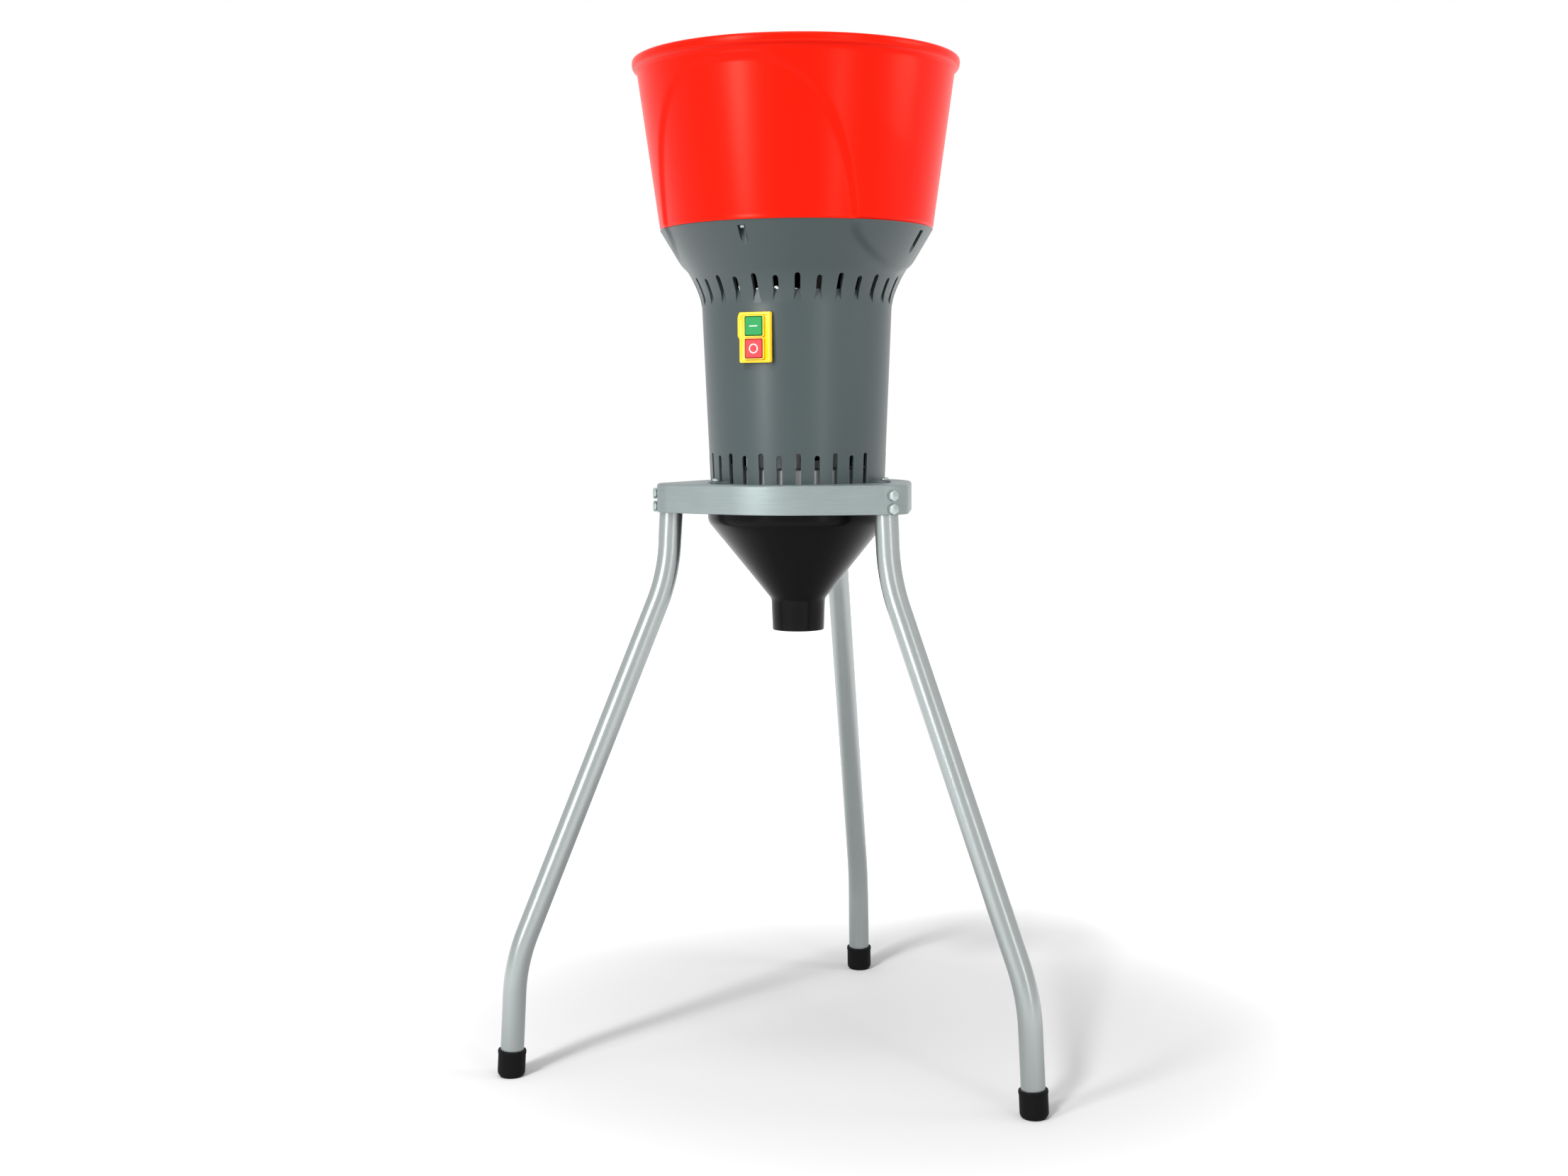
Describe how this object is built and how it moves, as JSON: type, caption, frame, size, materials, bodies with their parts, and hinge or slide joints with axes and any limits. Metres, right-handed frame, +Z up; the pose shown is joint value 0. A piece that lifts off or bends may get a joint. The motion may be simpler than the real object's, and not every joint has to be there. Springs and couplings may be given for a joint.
{
  "type": "electric grain mill",
  "caption": "Tall electric grain mill: open hopper over a vented motor housing with a push-button switch, on a tubular tripod, hammers in a chamber and an outlet funnel below.",
  "frame": {"origin": "on the floor, under the middle of the bounding box", "axes": "+Z up, the switch faces -Y, so +X is to the right of a person who faces the switch"},
  "size_m": [0.5814, 0.5564, 1.082],
  "materials": {
    "hopper_red": "semi-gloss moulded red plastic",
    "housing_grey": "satin grey plastic with a fine grain",
    "funnel_black": "glossy black plastic",
    "fitting_black": "satin black plastic",
    "cap_rubber": "matt black rubber",
    "ring_zinc": "zinc-coated sheet with a fine brushed grain",
    "tube_zinc": "zinc-coated tube, smooth",
    "chamber_steel": "zinc-coated sheet, brushed",
    "sieve_steel": "bare punched sheet",
    "bright_steel": "bright zinc-plated steel",
    "hammer_steel": "hardened flat steel",
    "core_steel": "stacked and varnished steel sheets",
    "cast_aluminium": "as-cast aluminium",
    "winding_copper": "varnished copper winding",
    "switch_yellow": "glossy yellow plastic",
    "start_green": "glossy green plastic",
    "stop_red": "glossy light red plastic",
    "carbon": "pressed carbon",
    "terminal_white": "white plastic"
  },
  "bodies": {
    "stand": {"hopper": "hopper_red", "hopper_screw_1": "bright_steel", "hopper_screw_2": "bright_steel", "hopper_screw_3": "bright_steel", "hopper_screw_4": "bright_steel", "motor_housing": "housing_grey", "switch_plate": "switch_yellow", "switch_body": "fitting_black", "cable_gland": "fitting_black", "frame_ring": "ring_zinc", "leg_left": "tube_zinc", "leg_right": "tube_zinc", "leg_rear": "tube_zinc", "foot_cap_left": "cap_rubber", "foot_cap_right": "cap_rubber", "foot_cap_rear": "cap_rubber", "upper_leg_bolt_1": "bright_steel", "upper_leg_bolt_2": "bright_steel", "upper_leg_bolt_3": "bright_steel", "lower_leg_bolt_1": "bright_steel", "lower_leg_bolt_2": "bright_steel", "lower_leg_bolt_3": "bright_steel", "frame_screw_1": "bright_steel", "frame_screw_2": "bright_steel", "frame_screw_3": "bright_steel", "chamber_drum": "chamber_steel", "feed_tube": "chamber_steel", "sieve": "sieve_steel", "chamber_floor": "chamber_steel", "chamber_stud_1": "bright_steel", "chamber_stud_2": "bright_steel", "chamber_stud_3": "bright_steel", "outlet_funnel": "funnel_black", "lower_motor_shield": "cast_aluminium", "upper_motor_shield": "cast_aluminium", "lower_bearing": "bright_steel", "upper_bearing": "bright_steel", "stator_core": "core_steel", "field_coil_1": "winding_copper", "field_coil_2": "winding_copper", "motor_tie_rod_1": "bright_steel", "motor_tie_rod_2": "bright_steel", "motor_tie_rod_3": "bright_steel", "motor_tie_rod_4": "bright_steel", "carbon_brush_1": "carbon", "carbon_brush_2": "carbon", "terminal_block": "terminal_white"},
    "rotor": {"motor_shaft": "bright_steel", "armature": "core_steel", "commutator": "winding_copper", "cooling_fan": "fitting_black", "upper_spacer": "hammer_steel", "upper_beater": "hammer_steel", "lower_spacer": "hammer_steel", "lower_beater": "hammer_steel", "hub_nut": "hammer_steel"},
    "start_button": {"start_button": "start_green"},
    "stop_button": {"stop_button": "stop_red"}
  },
  "joints": [
    {"name": "rotor_spin", "type": "hinge", "parent": "stand", "child": "rotor", "pos_m": [-0.02838, -0.0552, 0.7], "axis": [0, 0, 1], "continuous": true},
    {"name": "start_press", "type": "slide", "parent": "stand", "child": "start_button", "axis": [0, 1, 0], "range_m": [0, 0.003], "stiffness_N_per_m": 300},
    {"name": "stop_press", "type": "slide", "parent": "stand", "child": "stop_button", "axis": [0, 1, 0], "range_m": [0, 0.003], "stiffness_N_per_m": 300}
  ]
}
